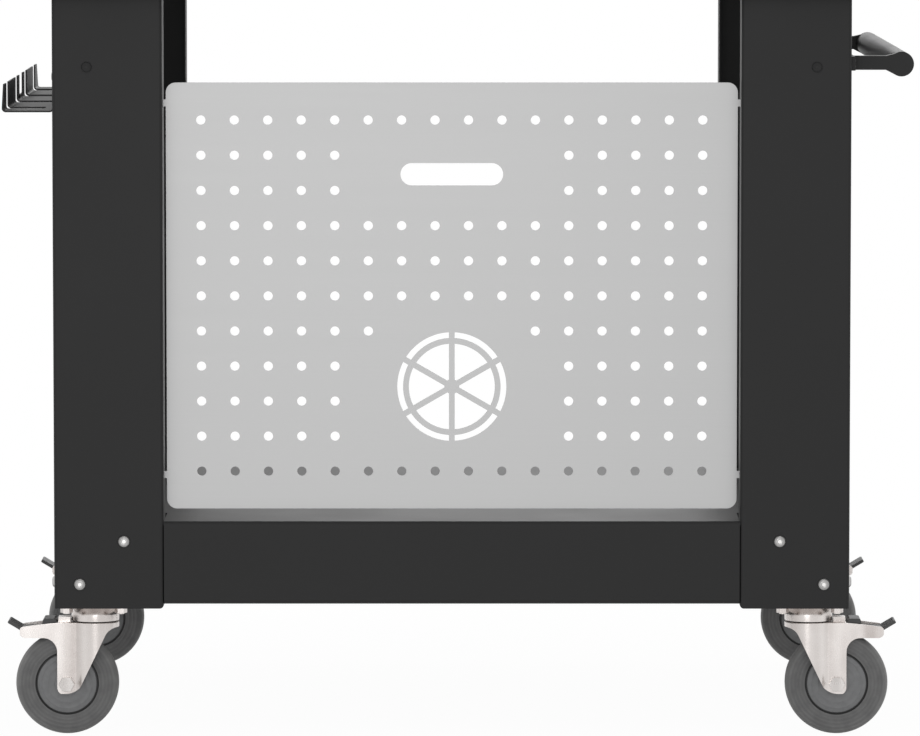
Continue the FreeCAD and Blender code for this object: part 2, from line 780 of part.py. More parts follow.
def hub():
    """Moulded wheel centre with a plain bore."""
    bore = axle_sleeve_radius + running_gap
    end = fork_gap / 2 - hub_side_gap
    side = hub_width / 2
    rim = hub_radius - hub_groove_width
    step = side - hub_groove_depth
    half = [(bore, end, 0), (hub_boss_radius, end, hub_edge_radius), (hub_boss_radius, side + hub_crown, 0),
            (rim, side, hub_edge_radius), (rim, step, 0), (hub_radius, step, 0)]
    return turned(half + [(a, -b, r) for a, b, r in half[::-1]])


def tyre():
    """Rubber tyre moulded round the hub."""
    bore = hub_radius + running_gap
    side = tyre_side_width / 2
    step = side - hub_groove_depth
    lip = bore + hub_groove_width
    half = [(bore, step, 0), (lip, step, 0), (lip, side, tyre_lip_radius),
            (tyre_shoulder_radius, tread_width / 2, tyre_round),
            (wheel_radius, tyre_tread_flat / 2, tyre_round)]
    return turned(half + [(a, -b, r) for a, b, r in half[::-1]])


def brake_pedal():
    """Lever with a pivot pin held in the cheeks, a shoe over the tread and a tip to tread on."""
    x0, z0 = pedal_pivot_x, pedal_pivot_z
    trail = caster_trail
    tip = Vector(trail + pedal_tip_reach, 0, pedal_tip_z)
    root = Vector(wing_x, 0, pedal_tip_root_z)
    along = (tip - root).normalize()
    across = Vector(-along.z, 0, along.x) * (pedal_tip_thick / 2)
    block_x0, block_x1 = trail + pedal_block_start, trail + pedal_block_end
    corner = pedal_corner_radius
    outline = [(x0 - pedal_heel, z0 - pedal_arm_under, 0),
               (x0 + pedal_shoe_start, z0 - pedal_shoe_drop, corner),
               (x0 + pedal_shoe_end, z0 - pedal_shoe_drop, corner),
               (root.x - across.x, root.z - across.z, pedal_tip_bend),
               (tip.x - across.x, tip.z - across.z, corner),
               (tip.x + across.x, tip.z + across.z, corner),
               (root.x + across.x, root.z + across.z, pedal_tip_bend),
               (block_x1 + pedal_block_slope, z0 + pedal_arm_top, corner),
               (block_x1, pedal_block_top, pedal_block_radius),
               (block_x0 + pedal_block_slope, pedal_block_top, pedal_block_radius),
               (block_x0, z0 + pedal_arm_top + pedal_block_slope, 0)]
    width = fork_gap / 2 - pedal_side_gap
    lever = prism(outline, "y", -width, width)
    pivot = Vector(x0, 0, z0)
    boss = rod(pedal_boss_radius, pivot - Vector(0, width, 0), pivot + Vector(0, width, 0))
    pin_end = Vector(0, fork_gap / 2 + pedal_pin_seat, 0)
    pin = rod(pedal_pin_radius, pivot - pin_end, pivot + pin_end)
    wheel = rod(wheel_radius + pedal_shoe_gap, Vector(trail, -cheek_outside, wheel_radius),
                Vector(trail, cheek_outside, wheel_radius))
    wheel.rotate(pivot, Vector(0, 1, 0), -pedal_travel)
    return fuse_all([lever.cut(wheel), boss, pin])


def fastener(node, seat, outward, grip):
    """Screw or bolt of one group, its nut, the nut's group, and its clearance hole."""
    is_m8 = node in ("leg_screws", "caster_bolts")
    radius = m8_radius if is_m8 else m6_radius
    flats = m8_nut_flats if is_m8 else m6_nut_flats
    height = m8_nut_height if is_m8 else m6_nut_height
    length = grip + height + (caster_bolt_end if node == "caster_bolts" else screw_end)
    if node.endswith("bolts"):
        head_height = m8_bolt_head_height if is_m8 else m6_bolt_head_height
        screw = hex_bolt(flats, head_height, radius, seat, outward, length)
    elif is_m8:
        screw = button_screw(m8_head_radius, m8_head_height, radius, m8_socket_flats, seat, outward, length)
    else:
        head = m6_upper_head_radius if node == "upper_leg_screws" else m6_head_radius
        screw = button_screw(head, m6_head_height, radius, m6_socket_flats, seat, outward, length)
    its_nut = nut(flats, height, radius, seat - outward * grip, -outward)
    hole = rod(radius + screw_hole_gap, seat + outward * overcut, seat - outward * (grip + overcut))
    return screw, its_nut, "m8_nuts" if is_m8 else "m6_nuts", hole


def leg_screw_places(is_left):
    """Screws through a leg's two outer faces, as (group, seat, outward, grip)."""
    out_face, out_side = Vector(0, -1, 0), Vector(-1, 0, 0)
    places = []
    grip = leg_sheet + bracket_sheet
    for inset, height in (leg_screw_high, leg_screw_low):
        places.append(("leg_screws", Vector(inset, 0, height), out_face, grip))
        places.append(("leg_screws", Vector(0, inset, height), out_side, grip))
    grip = leg_sheet + backing_sheet
    places.append(("upper_leg_screws", Vector(upper_screw_inset, 0, upper_screw_z), out_face, grip))
    if is_left:
        for inset in rack_screw_insets:
            seat = Vector(-rack_sheet, inset, rack_screw_z)
            places.append(("rack_screws", seat, out_side, grip + rack_sheet))
    else:
        for offset in (-handle_screw_pitch / 2, handle_screw_pitch / 2):
            seat = Vector(-handle_foot_sheet, half_depth - handle_arm_y + offset, handle_z + handle_arm_rise)
            places.append(("handle_screws", seat, out_side, grip + handle_foot_sheet))
    return places


def frame_bolt_places():
    """Bolts that hold the rails and the shelf aprons to one leg."""
    apron_inset = apron_setback + apron_end_tab / 2
    places = []
    for sheet, inset, height in ((rail_sheet, rail_middle_in, rail_middle),
                                 (shelf_sheet, apron_inset, apron_bottom + apron_bolt_low),
                                 (shelf_sheet, apron_inset, apron_bottom + apron_bolt_high)):
        stack = seat_gap + sheet
        by_face = Vector(leg_face + stack, inset, height)
        by_side = Vector(inset, leg_side + stack, height)
        places.append(("frame_bolts", by_face, Vector(1, 0, 0), leg_sheet + stack))
        places.append(("frame_bolts", by_side, Vector(0, 1, 0), leg_sheet + stack))
    return places


def caster_bolt_places():
    """Bolts that hold one caster's plate to the bracket in the leg's foot."""
    return [("caster_bolts", Vector(swivel_inset_side + x, swivel_inset_front + y, bracket_top),
             Vector(0, 0, 1), bracket_top - plate_bottom)
            for x in (-caster_bolt_pitch_x / 2, caster_bolt_pitch_x / 2)
            for y in (-caster_bolt_pitch_y / 2, caster_bolt_pitch_y / 2)]


def add_fasteners(places, is_left, is_front):
    """Add screws and nuts to their groups, and give their holes as drawn from the corner."""
    drawn = []
    for node, seat, outward, grip in places:
        screw, its_nut, nut_node, hole = fastener(node, seat, outward, grip)
        groups.setdefault(node, []).append(to_corner(screw, is_left, is_front))
        groups.setdefault(nut_node, []).append(to_corner(its_nut, is_left, is_front))
        holes.setdefault(node, []).append(to_corner(hole, is_left, is_front))
        drawn.append(hole)
    return drawn


def drilled(shape, cutters):
    """Shape with all cutters taken out of it."""
    return shape.cut(Part.makeCompound(cutters))


def upper_rails():
    """The four rails between the leg tops, by name."""
    reach_x, reach_y = half_opening - seat_gap, side_opening - seat_gap
    front = c_rail(2 * reach_x)
    front.translate(Vector(-reach_x, -half_depth + rail_setback, 0))
    left = c_rail(2 * reach_y)
    left.rotate(Vector(0, 0, 0), Vector(0, 0, 1), -90)
    left.translate(Vector(-half_width + rail_setback, reach_y, 0))
    return {"front": front, "rear": front.mirror(Vector(0, 0, 0), Vector(0, 1, 0)),
            "left": left, "right": left.mirror(Vector(0, 0, 0), Vector(1, 0, 0))}


os.makedirs("parts", exist_ok=True)
groups = {}
holes = {}

# The four leg corners, each with its brackets, its fasteners and its caster
for corner, is_left, is_front in corners:
    screw_holes = add_fasteners(leg_screw_places(is_left), is_left, is_front)
    frame_holes = add_fasteners(frame_bolt_places(), is_left, is_front)
    caster_holes = add_fasteners(caster_bolt_places(), is_left, is_front)
    slots = panel_slots() if is_front else []
    corner_pieces = {"leg_": drilled(leg_shell(), screw_holes + frame_holes + slots),
                     "caster_bracket_": drilled(caster_bracket(), screw_holes + caster_holes),
                     "backing_angle_": drilled(backing_angle(), screw_holes)}
    for name, shape in corner_pieces.items():
        save(to_corner(shape, is_left, is_front), name + corner)
    plate = to_caster(caster_plate(), is_left, is_front)
    plate_holes = [to_corner(hole, is_left, is_front) for hole in caster_holes]
    save(drilled(plate, plate_holes), "caster_plate_" + corner)
    caster_pieces = {"fork_": fork(), "axle_": Part.makeCompound(axle()), "hub_": hub(), "tyre_": tyre(),
                     "brake_pedal_": brake_pedal()}
    for name, shape in caster_pieces.items():
        save(to_caster(shape, is_left, is_front), name + corner)
    groups.setdefault("kingpins", []).append(to_caster(kingpin(), is_left, is_front))
    groups.setdefault("head_balls", []).extend(to_caster(ball, is_left, is_front) for ball in head_balls())

# Worktop with its studs, rails and stiffeners
stud_seats = [Vector(x, y, worktop_under) for x in (-stud_spacing / 2, stud_spacing / 2)
              for y in (-stud_line, stud_line)]
down = Vector(0, 0, -1)
for seat in stud_seats:
    holes["frame_bolts"].append(rod(stud_radius + screw_hole_gap, seat - down * overcut,
                                    seat + down * (rail_sheet + overcut)))
    groups["m6_nuts"].append(nut(m6_nut_flats, m6_nut_height, stud_radius, seat + down * rail_sheet, down))
save(worktop(), "worktop")
for name, rail in upper_rails().items():
    save(drilled(rail, holes["frame_bolts"]), "upper_rail_" + name)
stiffener_reach = half_depth - rail_setback - rail_flange - seat_gap
for name, side in (("left", -1), ("right", 1)):
    stiffener = hat_channel("y", side * stiffener_offset, worktop_under, stiffener_reach)
    save(stiffener, "worktop_stiffener_" + name)

# Shelf with its stiffener, which ends short of the bend at each side apron
shelf_reach = half_width - apron_setback - shelf_sheet - shelf_bend - seat_gap
save(hat_channel("x", 0, shelf_height - shelf_sheet, shelf_reach), "shelf_stiffener")
save(drilled(shelf_tray(), holes["frame_bolts"]), "shelf_tray")

# Panel, rack, handle and the groups of small pieces
save(peg_panel(), "peg_panel")
save(drilled(tool_rack(), holes["rack_screws"]), "tool_rack")
for name, is_front in (("front", True), ("rear", False)):
    save(drilled(handle_bracket(is_front), holes["handle_screws"]), "handle_bracket_" + name)
save(handle_tube(), "handle_tube")
for name, pieces in groups.items():
    save(Part.makeCompound(pieces), name)
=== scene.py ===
"""Looks of the outdoor pizza oven table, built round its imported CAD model, in metres."""
import math

import bmesh
import bpy
from mathutils import Matrix, Vector


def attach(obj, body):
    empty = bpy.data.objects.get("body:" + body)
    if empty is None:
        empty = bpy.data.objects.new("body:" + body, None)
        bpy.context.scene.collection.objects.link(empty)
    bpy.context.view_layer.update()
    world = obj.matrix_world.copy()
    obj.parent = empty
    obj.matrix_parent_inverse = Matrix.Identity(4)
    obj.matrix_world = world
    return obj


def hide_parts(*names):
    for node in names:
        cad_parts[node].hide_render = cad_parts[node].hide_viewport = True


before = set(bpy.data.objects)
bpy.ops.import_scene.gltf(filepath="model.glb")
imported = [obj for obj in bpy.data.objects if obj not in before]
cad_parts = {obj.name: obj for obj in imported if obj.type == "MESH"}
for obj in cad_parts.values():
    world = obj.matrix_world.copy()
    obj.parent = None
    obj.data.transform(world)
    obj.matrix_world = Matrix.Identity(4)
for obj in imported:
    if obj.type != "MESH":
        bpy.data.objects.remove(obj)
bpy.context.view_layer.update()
corners = ["front_left", "front_right", "rear_left", "rear_right"]


# Legs: four uprights of 2 mm steel sheet, folded on a press brake with an open back and turned-in
# flanges, then powder coated in a fine satin near-black. All powder coated pieces share this coat.
coat_colour = (0.0125, 0.0125, 0.0128, 1)
coat_colour_worn = (0.0155, 0.0155, 0.0156, 1)
coat_edge = 0.0005
thin_coat_edge = 0.0004
merge_distance = 1e-6
flat_angle = math.radians(0.5)
sharp_angle = math.radians(32)
bevel_steps = 2


class Wire:
    """One output of a node; Python's operators turn an expression on it into Math nodes."""

    def __init__(self, bench, output):
        self.bench = bench
        self.output = output

    def __add__(self, other):
        return self.bench.maths("ADD", self, other)

    def __sub__(self, other):
        return self.bench.maths("SUBTRACT", self, other)

    def __mul__(self, other):
        return self.bench.maths("MULTIPLY", self, other)


class Bench:
    """A node tree that is written as expressions."""

    def __init__(self, tree):
        self.tree = tree
        tree.nodes.clear()

    def node(self, kind, settings=None, sockets=None, output=0):
        """New node: its settings first, then its sockets, which take values or wires."""
        made = self.tree.nodes.new(kind)
        for name, value in (settings or {}).items():
            setattr(made, name, value)
        for name, value in (sockets or {}).items():
            if isinstance(value, Wire):
                self.tree.links.new(value.output, made.inputs[name])
            else:
                made.inputs[name].default_value = value
        return Wire(self, made.outputs[output]) if made.outputs else made

    def maths(self, operation, *values):
        """Math node on wires and numbers."""
        return self.node("ShaderNodeMath", {"operation": operation}, dict(enumerate(values)))

    def blend(self, factor, first, second):
        """Colour between two colours."""
        return self.node("ShaderNodeMix", {"data_type": "RGBA"}, {0: factor, 6: first, 7: second}, 2)

    def noise(self, place, scale, detail=2.0, rough=0.5):
        """Soft noise from 0 to 1, whose patches are about one over the scale in metres."""
        return self.node("ShaderNodeTexNoise", None,
                         {"Vector": place, "Scale": scale, "Detail": detail, "Roughness": rough}, "Fac")

    def between(self, wire, low, high):
        """Wire from 0 to 1 spread between two numbers."""
        return wire * (high - low) + low


def new_finish(name, build):
    """Material whose nodes are laid by build(bench, place), which gives the shader's sockets."""
    material = bpy.data.materials.new(name)
    material.use_nodes = True
    bench = Bench(material.node_tree)
    place = bench.node("ShaderNodeTexCoord", output="Object")
    shader = bench.node("ShaderNodeBsdfPrincipled", None, build(bench, place))
    bench.node("ShaderNodeOutputMaterial", None, {"Surface": shader})
    return material


def powder_coat(bench, place):
    """Satin coat with the fine orange peel of baked powder and a faint unevenness of gloss."""
    peel = bench.noise(place, 620.0, 2.0)
    cloud = bench.noise(place, 9.0, 3.0)
    bump = bench.node("ShaderNodeBump", None, {"Strength": 0.22, "Distance": 0.0003, "Height": peel})
    return {"Base Color": bench.blend(cloud, coat_colour, coat_colour_worn),
            "Roughness": bench.between(cloud, 0.42, 0.52),
            "Specular IOR Level": 0.25,
            "Normal": bump}


coat = new_finish("near_black_powder_coat", powder_coat)


def soft_edged(node, edge, finish, body="root", press=None):
    """Merged copy of a CAD node, reshaped by press if given, with its sharp edges broken."""
    shape = bmesh.new()
    shape.from_mesh(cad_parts[node].data)
    bmesh.ops.remove_doubles(shape, verts=shape.verts, dist=merge_distance)
    bmesh.ops.dissolve_limit(shape, angle_limit=flat_angle, verts=shape.verts, edges=shape.edges)
    if press:
        press(shape, node)
    mesh = bpy.data.meshes.new(node + "_sheet")
    shape.to_mesh(mesh)
    shape.free()
    mesh.materials.clear()
    mesh.materials.append(finish)
    for face in mesh.polygons:
        face.material_index = 0
        face.use_smooth = True
    piece = bpy.data.objects.new(node + "_finished", mesh)
    bpy.context.collection.objects.link(piece)
    bevel = piece.modifiers.new("broken edges", "BEVEL")
    bevel.width = edge
    bevel.segments = bevel_steps
    bevel.limit_method = "ANGLE"
    bevel.angle_limit = sharp_angle
    even = piece.modifiers.new("flat faces stay flat", "WEIGHTED_NORMAL")
    even.weight = 100
    even.keep_sharp = True
    finish_piece(piece, body, node)


def finish_piece(piece, body, node):
    """Turn a piece's modifiers into plain mesh, hang it on its body and hide the CAD node it stands for."""
    bpy.context.view_layer.update()
    baked = bpy.data.meshes.new_from_object(piece.evaluated_get(bpy.context.evaluated_depsgraph_get()))
    piece.modifiers.clear()
    piece.data = baked
    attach(piece, body)
    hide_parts(node)


for corner in corners:
    soft_edged("leg_" + corner, coat_edge, coat)


# Shelf: one cross-shaped tray of 1.5 mm sheet with aprons folded down on four sides, and a hat
# channel spot welded under its middle. Both are powder coated like the legs.
for node in ("shelf_tray", "shelf_stiffener"):
    soft_edged(node, thin_coat_edge, coat)


# Rails and stiffeners: C sections between the leg tops and two hat channels under the worktop,
# folded from sheet, powder coated, and bolted to the legs and to studs on the worktop.
for side in ("front", "rear", "left", "right"):
    soft_edged("upper_rail_" + side, thin_coat_edge, coat)
for side in ("left", "right"):
    soft_edged("worktop_stiffener_" + side, thin_coat_edge, coat)


# Worktop: a stainless tray folded down at its edges and hemmed, brushed along its length. It drops
# over the frame and is held by four studs.
steel_colour = (0.56, 0.56, 0.565, 1)
steel_colour_bright = (0.66, 0.66, 0.66, 1)
worktop_edge = 0.0005


def brushed_along(bench, place, across, low, high, dark, bright, depth):
    """Metal brushed in one direction: fine streaks in height, gloss and tone."""
    drawn = bench.node("ShaderNodeMapping", None, {"Vector": place, "Scale": across})
    streak = bench.noise(drawn, 1.0, 3.0, 0.6)
    broad = bench.noise(drawn, 0.13, 2.0)
    grain = streak * 0.7 + broad * 0.3
    bump = bench.node("ShaderNodeBump", None, {"Strength": depth, "Distance": 0.0001, "Height": grain})
    return {"Base Color": bench.blend(grain, dark, bright),
            "Metallic": 1.0,
            "Roughness": bench.between(grain, low, high),
            "Normal": bump}


worktop_steel = new_finish("brushed_stainless", lambda bench, place: brushed_along(
    bench, place, (6.0, 900.0, 900.0), 0.27, 0.40, steel_colour, steel_colour_bright, 0.16))
soft_edged("worktop", worktop_edge, worktop_steel)


# Peg panel: a flat 2 mm sheet, laser cut with rows of 11 mm peg holes, a hand slot and a sliced
# disc, finely brushed and hung by four lugs in slots in the front legs.
panel_front = -0.356
panel_sheet = 0.002
panel_half_width = 0.345
panel_bottom = 0.2775
panel_top = 0.7937
panel_corner = 0.012
lug_reach = 0.0085
lug_half_height = 0.0042
lug_heights = [0.769, 0.3186]
lug_corner = 0.001
peg_hole_radius = 0.00565
peg_hole_sides = 28
peg_columns = 16
peg_pitch_across = 0.04038
peg_pitch_down = 0.04255
peg_top_inset = 0.0453
peg_holes_in_row = [16, 10, 10, 16, 16, 16, 12, 10, 10, 10, 16]
hand_slot_length = 0.124
hand_slot_height = 0.027
hand_slot_drop = 0.1108
disc_drop = 0.368
disc_rings = [(0.009, 0.052), (0.059, 0.066)]
disc_bar = 0.007
disc_slices = 6
panel_colour = (0.418, 0.418, 0.418, 1)
panel_colour_bright = (0.455, 0.455, 0.455, 1)


def round_corners(points, radius, steps=8):
    """Closed loop of 2D points through convex or hollow corners, each rounded by one radius."""
    loop = []
    for index, corner_point in enumerate(points):
        here = Vector(corner_point)
        before = (Vector(points[index - 1]) - here).normalized()
        after = (Vector(points[(index + 1) % len(points)]) - here).normalized()
        half = before.angle(after) / 2
        if radius[index] == 0:
            loop.append(here)
            continue
        middle = here + (before + after).normalized() * (radius[index] / math.sin(half))
        start = here + before * (radius[index] / math.tan(half)) - middle
        end = here + after * (radius[index] / math.tan(half)) - middle
        turn = start.angle_signed(end)
        for step in range(steps + 1):
            loop.append(middle + Matrix.Rotation(-turn * step / steps, 2) @ start)
    return loop


def slice_loop(inner, outer, index, steps=14):
    """Outline of one slice of a ring, with straight bars of even width left between slices."""
    middle = (index + 0.5) * 2 * math.pi / disc_slices
    half = math.pi / disc_slices
    loop = []
    for radius, signs in ((outer, (-1, 1)), (inner, (1, -1))):
        inset = math.asin(disc_bar / 2 / radius)
        first, last = [middle + sign * (half - inset) for sign in signs]
        for step in range(steps + 1):
            angle = first + (last - first) * step / steps
            loop.append(Vector((radius * math.sin(angle), radius * math.cos(angle))))
    return loop


def panel_loops():
    """The panel's outline and its large cut-outs, as loops across and up from the panel's foot."""
    half, lug = panel_half_width, panel_half_width + lug_reach
    top = panel_top - panel_bottom
    lugs = [(height - panel_bottom - lug_half_height, height - panel_bottom + lug_half_height)
            for height in lug_heights]
    lug_radius = [0, lug_corner, lug_corner, 0]
    points = [(-half, 0), (half, 0)]
    radius = [panel_corner, panel_corner]
    for low, high in lugs[::-1]:
        points += [(half, low), (lug, low), (lug, high), (half, high)]
        radius += lug_radius
    points += [(half, top), (-half, top)]
    radius += [panel_corner, panel_corner]
    for low, high in lugs:
        points += [(-half, high), (-lug, high), (-lug, low), (-half, low)]
        radius += lug_radius
    loops = [round_corners(points, radius)]
    slot_middle = top - hand_slot_drop
    long, short = hand_slot_length / 2, hand_slot_height / 2
    box = [(-long, slot_middle - short), (long, slot_middle - short),
           (long, slot_middle + short), (-long, slot_middle + short)]
    nearly_half_round = short * 0.999
    loops.append(round_corners(box, [nearly_half_round] * 4))
    for inner, outer in disc_rings:
        for index in range(disc_slices):
            loops.append([point + Vector((0, top - disc_drop)) for point in slice_loop(inner, outer, index)])
    return loops


def panel_start():
    """Mesh of loose points at the peg holes and of edge loops round the other cuts."""
    shape = bmesh.new()
    is_hole = shape.verts.layers.float.new("is_hole")
    last = peg_columns - 1
    for row, count in enumerate(peg_holes_in_row):
        height = panel_top - panel_bottom - peg_top_inset - row * peg_pitch_down
        for column in range(peg_columns):
            if min(column, last - column) < count / 2:
                point = shape.verts.new(((column - last / 2) * peg_pitch_across, height, 0))
                point[is_hole] = 1.0
    for loop in panel_loops():
        made = [shape.verts.new((point.x, point.y, 0)) for point in loop]
        for first, second in zip(made, made[1:] + made[:1]):
            shape.edges.new((first, second))
    mesh = bpy.data.meshes.new("panel_start")
    shape.to_mesh(mesh)
    shape.free()
    return mesh


def new_grower(name, inputs):
    """Empty Geometry Nodes tree with named inputs; gives its bench and its inputs as wires."""
    tree = bpy.data.node_groups.new(name, "GeometryNodeTree")
    tree.interface.new_socket("Geometry", in_out="INPUT", socket_type="NodeSocketGeometry")
    for label, kind in inputs.items():
        tree.interface.new_socket(label, in_out="INPUT", socket_type="NodeSocket" + kind)
    tree.interface.new_socket("Geometry", in_out="OUTPUT", socket_type="NodeSocketGeometry")
    bench = Bench(tree)
    group = tree.nodes.new("NodeGroupInput")
    return bench, {socket.name: Wire(bench, socket) for socket in group.outputs if socket.name}


def end_grower(bench, geometry, finish):
    """Close a tree with Realize Instances and Set Material."""
    whole = bench.node("GeometryNodeRealizeInstances", None, {"Geometry": geometry})
    dressed = bench.node("GeometryNodeSetMaterial", None, {"Geometry": whole, "Material": finish})
    bench.node("NodeGroupOutput", None, {"Geometry": dressed})
    return bench.tree


def grow(name, mesh, tree, values, finish):
    """Object that runs a tree on a mesh, with the tree's inputs set by their identifiers."""
    mesh.materials.append(finish)
    piece = bpy.data.objects.new(name, mesh)
    bpy.context.collection.objects.link(piece)
    modifier = piece.modifiers.new("grown", "NODES")
    modifier.node_group = tree
    for item in tree.interface.items_tree:
        if item.item_type == "SOCKET" and item.in_out == "INPUT" and item.name in values:
            modifier[item.identifier] = values[item.name]
    return piece


def panel_tree(finish):
    """Tree that punches round holes at the loose points and thickens the filled outline."""
    bench, given = new_grower("perforated_sheet", {"Hole Radius": "Float", "Sheet": "Float"})
    loops = bench.node("GeometryNodeMeshToCurve", None, {"Mesh": given["Geometry"]})
    marked = bench.node("GeometryNodeInputNamedAttribute", {"data_type": "FLOAT"}, {"Name": "is_hole"})
    is_hole = bench.node("FunctionNodeCompare", {"data_type": "FLOAT", "operation": "GREATER_THAN"},
                         {0: marked, 1: 0.5})
    ring = bench.node("GeometryNodeCurvePrimitiveCircle", {"mode": "RADIUS"},
                      {"Resolution": peg_hole_sides, "Radius": given["Hole Radius"]})
    holes = bench.node("GeometryNodeInstanceOnPoints", None,
                       {"Points": given["Geometry"], "Selection": is_hole, "Instance": ring})
    holes = bench.node("GeometryNodeRealizeInstances", None, {"Geometry": holes})
    joined = bench.node("GeometryNodeJoinGeometry")
    bench.tree.links.new(loops.output, joined.output.node.inputs[0])
    bench.tree.links.new(holes.output, joined.output.node.inputs[0])
    flat = bench.node("GeometryNodeFillCurve", {"mode": "TRIANGLES"}, {"Curve": joined})
    back = bench.node("GeometryNodeFlipFaces", None, {"Mesh": flat})
    thick = bench.node("GeometryNodeExtrudeMesh", {"mode": "FACES"},
                       {"Mesh": flat, "Offset Scale": given["Sheet"], "Individual": False})
    both = bench.node("GeometryNodeJoinGeometry")
    bench.tree.links.new(thick.output, both.output.node.inputs[0])
    bench.tree.links.new(back.output, both.output.node.inputs[0])
    closed = bench.node("GeometryNodeMergeByDistance", None,
                        {"Geometry": both, "Distance": merge_distance})
    return end_grower(bench, closed, finish)


panel_steel = new_finish("fine_brushed_panel", lambda bench, place: brushed_along(
    bench, place, (5.0, 700.0, 700.0), 0.42, 0.50, panel_colour, panel_colour_bright, 0.05))
panel = grow("peg_panel_sheet", panel_start(), panel_tree(panel_steel),
             {"Hole Radius": peg_hole_radius, "Sheet": panel_sheet}, panel_steel)
finish_piece(panel, "root", "peg_panel")
panel.data.transform(Matrix.Translation((0, panel_front + panel_sheet, panel_bottom))
                     @ Matrix.Rotation(math.pi / 2, 4, "X"))


# Tool rack: a comb folded from one 2 mm sheet, with four slots for tool shafts and an upturned lip.
# It is powder coated and screwed to the left legs by its tall flange.
soft_edged("tool_rack", coat_edge, coat)


# Push handle: a round tube held between two cast arms with flat feet, all powder coated, and
# screwed to the right legs.
casting_edge = 0.0008
soft_edged("handle_tube", thin_coat_edge, coat)
for side in ("front", "rear"):
    soft_edged("handle_bracket_" + side, casting_edge, coat)


# Brackets and backing angles: thick folded sheet inside the legs, powder coated with them. The
# casters bolt to the brackets, and the rack and the handle pull on the angles.
for corner in corners:
    soft_edged("caster_bracket_" + corner, coat_edge, coat)
    soft_edged("backing_angle_" + corner, coat_edge, coat)


# Caster metal: pressed and drawn steel plates, heads and forks, bright zinc plated, with the bolt,
# nut and sleeve of each axle. Heights are above the floor and reaches are from the swivel's axis.
pressed_edge = 0.0009
axle_edge = 0.0007
# The zinc colours span its own clouded tone and upright bands of painted reflection.
zinc_colour = (0.50, 0.458, 0.438, 1)
zinc_colour_bright = (0.77, 0.730, 0.707, 1)
# The axles take the same zinc painted darker, as painted shade round their heads in the fork's ends.
axle_shade_colour = (0.43, 0.405, 0.390, 1)
axle_shade_colour_bright = (0.73, 0.700, 0.682, 1)
swivel_x = 0.434
swivel_y = 0.330
drum_radius = 0.029
drum_top = 0.1582
drum_wall = 0.003
drum_foot = 0.1382
drum_lift = 0.0008
drum_play = 0.0003
shoulder_foot = 0.1460
shoulder_steps = 5
shoulder_in = 0.0062
shoulder_curve = 1.6
shoulder_share_limit = 1.001
wing_slope_start = 0.046
wing_length = 0.0448
wing_foot = 0.1186
wing_top = 0.1353
wing_fall = 0.0035
wing_curve = 1.3
wing_cuts = 8
wing_cut_share = 0.93
fork_end_low = 0.0503
fork_end_radius = 0.025
fork_end_middle = 0.0358
fork_end_from = 0.016
fork_end_to = 0.045
fork_end_cuts = 15
fork_end_band = 0.008
fork_merge_band = 0.010
fork_merge_distance = 0.0003
fork_cut = 0.075
fork_cut_play = 1e-5
above_table = 1.0


def side_of(name):
    """-1 for a piece on the left of the table and 1 for one on the right."""
    return -1 if "left" in name else 1


def end_of(name):
    """-1 for a piece at the front of the table and 1 for one at the rear."""
    return -1 if "front" in name else 1


def zinc_plate(bench, place, dark, bright):
    """Bright zinc: clouds of tone and soft upright bands of painted reflection, over the faint drawing lines
    of the press.
    """
    cloud = bench.noise(place, 45.0, 3.0)
    upright = bench.node("ShaderNodeMapping", None, {"Vector": place, "Scale": (75.0, 75.0, 4.0)})
    # Painted reflection: upright bands of lighter and darker colour, as a drum or a cheek mirrors its
    # surroundings.
    reflection_band = bench.noise(upright, 1.0, 0.0)
    drawn = bench.node("ShaderNodeMapping", None, {"Vector": place, "Scale": (700.0, 700.0, 18.0)})
    lines = bench.noise(drawn, 1.0, 2.0)
    bump = bench.node("ShaderNodeBump", None, {"Strength": 0.05, "Distance": 0.0001, "Height": lines})
    tone = bench.node("ShaderNodeMapRange", None,
                      {"Value": cloud * 0.25 + reflection_band * 0.75, "From Min": 0.22, "From Max": 0.78})
    return {"Base Color": bench.blend(tone, dark, bright),
            "Metallic": 1.0,
            "Roughness": bench.between(cloud * 0.6 + lines * 0.4, 0.20, 0.34),
            "Normal": bump}


def draw_in_shoulder(shape, node):
    """Draw the drum of a swivel head in to a round shoulder under the plate, and lift its foot."""
    centre = Vector((side_of(node) * swivel_x, end_of(node) * swivel_y))
    for step in range(shoulder_steps):
        height = shoulder_foot + (drum_top - shoulder_foot) * step / shoulder_steps
        bmesh.ops.bisect_plane(shape, geom=shape.verts[:] + shape.edges[:] + shape.faces[:],
                               plane_co=(0, 0, height), plane_no=(0, 0, 1))
    for vert in shape.verts:
        arm = vert.co.xy - centre
        share = (vert.co.z - shoulder_foot) / (drum_top - shoulder_foot)
        on_wall = drum_radius - drum_wall - drum_play < arm.length < drum_radius + drum_play
        if on_wall and 0 < share < shoulder_share_limit:
            arm = arm * (1 - shoulder_in * share ** shoulder_curve / arm.length)
            vert.co.xy = centre + arm
        elif on_wall and vert.co.z < drum_foot + drum_play:
            vert.co.z += drum_lift


def slice_upright(shape, side, start, end, top, count):
    """Cut the faces below a height by upright planes, at even places outward of the swivel's axis."""
    for step in range(count):
        outward = start + (end - start) * step / (count - 1)
        low = [vert for vert in shape.verts if vert.co.z < top]
        edges = {edge for vert in low for edge in vert.link_edges
                 if all(other.co.z < top for other in edge.verts)}
        faces = {face for vert in low for face in vert.link_faces
                 if all(other.co.z < top for other in face.verts)}
        bmesh.ops.bisect_plane(shape, geom=low + list(edges) + list(faces),
                               plane_co=(side * (swivel_x + outward), 0, 0), plane_no=(1, 0, 0))


